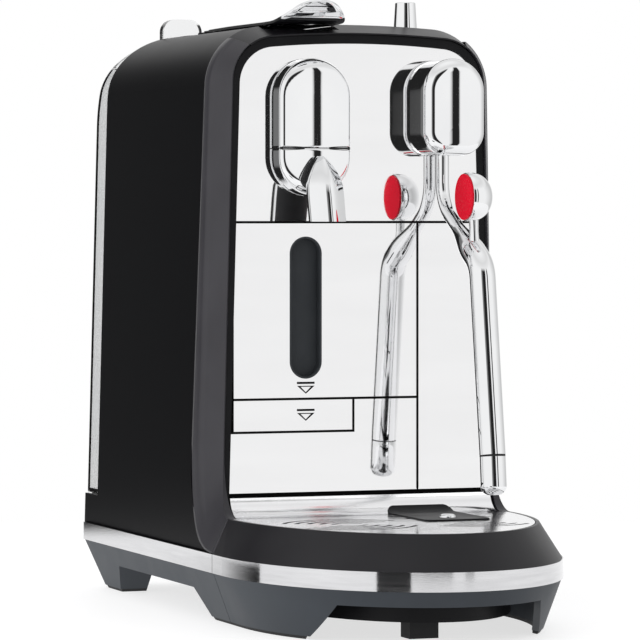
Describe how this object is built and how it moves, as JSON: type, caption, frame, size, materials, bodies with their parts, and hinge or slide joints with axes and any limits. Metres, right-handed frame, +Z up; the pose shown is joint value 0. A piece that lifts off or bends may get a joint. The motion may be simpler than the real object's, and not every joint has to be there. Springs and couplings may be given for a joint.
{
  "type": "pod coffee machine",
  "caption": "Countertop capsule coffee machine with a brew lever, chrome brew and steam heads, swinging steam wand, pull-out drip base and clear rear water tank",
  "frame": {"origin": "middle of the bounding box's underside, on the surface the machine stands on", "axes": "+Z up, -Y the front, +X the right-hand side seen from the front"},
  "size_m": [0.17, 0.366, 0.3164],
  "materials": {
    "satin_black": "satin black paint",
    "frame_grey": "satin metallic charcoal",
    "polished_steel": "mirror polished stainless steel",
    "chrome": "bright chrome plating",
    "steel": "plain machined steel",
    "black_plastic": "moulded black plastic",
    "gloss_black": "gloss black",
    "plinth_plastic": "moulded blue-grey plastic",
    "red_inlay": "gloss red",
    "clear_plastic": "clear moulded tank plastic",
    "rubber": "soft black rubber",
    "cast_aluminium": "cast heater body",
    "grey_plastic": "works plastic",
    "board": "circuit board",
    "hose": "silicone hose"
  },
  "bodies": {
    "machine": {"base_plinth": "plinth_plastic", "base_feet": "plinth_plastic", "foot_pads": "rubber", "base_band": "polished_steel", "chassis_plate": "black_plastic", "outer_wrap": "satin_black", "tank_bay": "black_plastic", "bezel_left": "frame_grey", "bezel_right": "frame_grey", "bezel_top": "frame_grey", "inner_bezel": "black_plastic", "front_bulkhead": "black_plastic", "upper_front_panel": "polished_steel", "right_front_panel": "polished_steel", "lower_front_panel": "polished_steel", "top_deck": "gloss_black", "display_window": "gloss_black", "brew_head_shell": "chrome", "brew_head_lower": "chrome", "brew_head_gasket": "rubber", "coffee_spout": "chrome", "steam_head_shell": "chrome", "steam_bracket": "steel", "lever_pin": "steel", "brew_frame": "grey_plastic", "dial_encoder": "steel", "brew_thermoblock": "cast_aluminium", "steam_boiler": "cast_aluminium", "pump": "grey_plastic", "pump_mounts": "rubber", "control_board": "board", "water_pipes": "hose", "cord_gland": "black_plastic", "housing_screws": "steel"},
    "wand": {"wand_ball": "steel", "wand_tube": "chrome", "wand_sleeve": "chrome", "wand_tip": "chrome", "wand_knob": "chrome", "wand_knob_disc": "red_inlay"},
    "lever": {"lever_arm": "chrome"},
    "cage": {"capsule_cage": "steel"},
    "dial": {"selection_dial": "chrome"},
    "button": {"start_button": "chrome"},
    "front_base": {"tray_plinth": "plinth_plastic", "tray_pads": "rubber", "tray_band": "polished_steel", "tray_apron": "frame_grey", "tray_basin": "black_plastic", "sensor_pod": "black_plastic"},
    "sensor": {"jug_sensor": "chrome"},
    "grid": {"drip_grid": "polished_steel"},
    "container": {"container_door": "polished_steel", "pull_recess": "black_plastic", "container_bin": "black_plastic"},
    "ledge": {"ledge_front": "polished_steel", "ledge_shelf": "black_plastic"},
    "tank": {"water_tank": "clear_plastic"},
    "lid": {"tank_lid": "clear_plastic"},
    "valve": {"tank_valve": "grey_plastic"}
  },
  "joints": [
    {"name": "lever_hinge", "type": "hinge", "parent": "machine", "child": "lever", "pos_m": [-0.028, 0.078, 0.3], "axis": [-1, 0, 0], "range_deg": [0, 80]},
    {"name": "cage_slide", "type": "slide", "parent": "machine", "child": "cage", "axis": [0, 1, 0], "range_m": [0, 0.0201]},
    {"name": "dial_turn", "type": "hinge", "parent": "machine", "child": "dial", "pos_m": [0.0395, 0.005, 0.3084], "axis": [0, 0, 1], "continuous": true},
    {"name": "button_press", "type": "slide", "parent": "machine", "child": "button", "axis": [0, 0, -1], "range_m": [0, 0.0012], "stiffness_N_per_m": 500, "springref_m": -0.001},
    {"name": "wand_swing", "type": "hinge", "parent": "machine", "child": "wand", "pos_m": [0.043, -0.0384, 0.2464], "axis": [-1, 0, 0], "range_deg": [0, 30]},
    {"name": "base_slide", "type": "slide", "parent": "machine", "child": "front_base", "axis": [0, -1, 0], "range_m": [0, 0.155]},
    {"name": "grid_lift", "type": "slide", "parent": "front_base", "child": "grid", "axis": [0, 0, 1], "range_m": [0, 0.012]},
    {"name": "sensor_press", "type": "slide", "parent": "front_base", "child": "sensor", "axis": [0, 0, -1], "range_m": [0, 0.002], "stiffness_N_per_m": 200, "springref_m": -0.001},
    {"name": "container_slide", "type": "slide", "parent": "machine", "child": "container", "axis": [0, -1, 0], "range_m": [0, 0.105]},
    {"name": "ledge_slide", "type": "slide", "parent": "machine", "child": "ledge", "axis": [0, -1, 0], "range_m": [0, 0.06]},
    {"name": "tank_lift", "type": "slide", "parent": "machine", "child": "tank", "axis": [0, 0, 1], "range_m": [0, 0.25]},
    {"name": "lid_lift", "type": "slide", "parent": "tank", "child": "lid", "axis": [0, 0, 1], "range_m": [0, 0.03]},
    {"name": "valve_lift", "type": "slide", "parent": "tank", "child": "valve", "axis": [0, 0, 1], "range_m": [0, 0.003], "stiffness_N_per_m": 150, "springref_m": -0.001}
  ],
  "couplings": [
    {"joint": "cage_slide", "follows": "lever_hinge", "m_per_rad": 0.0143}
  ]
}
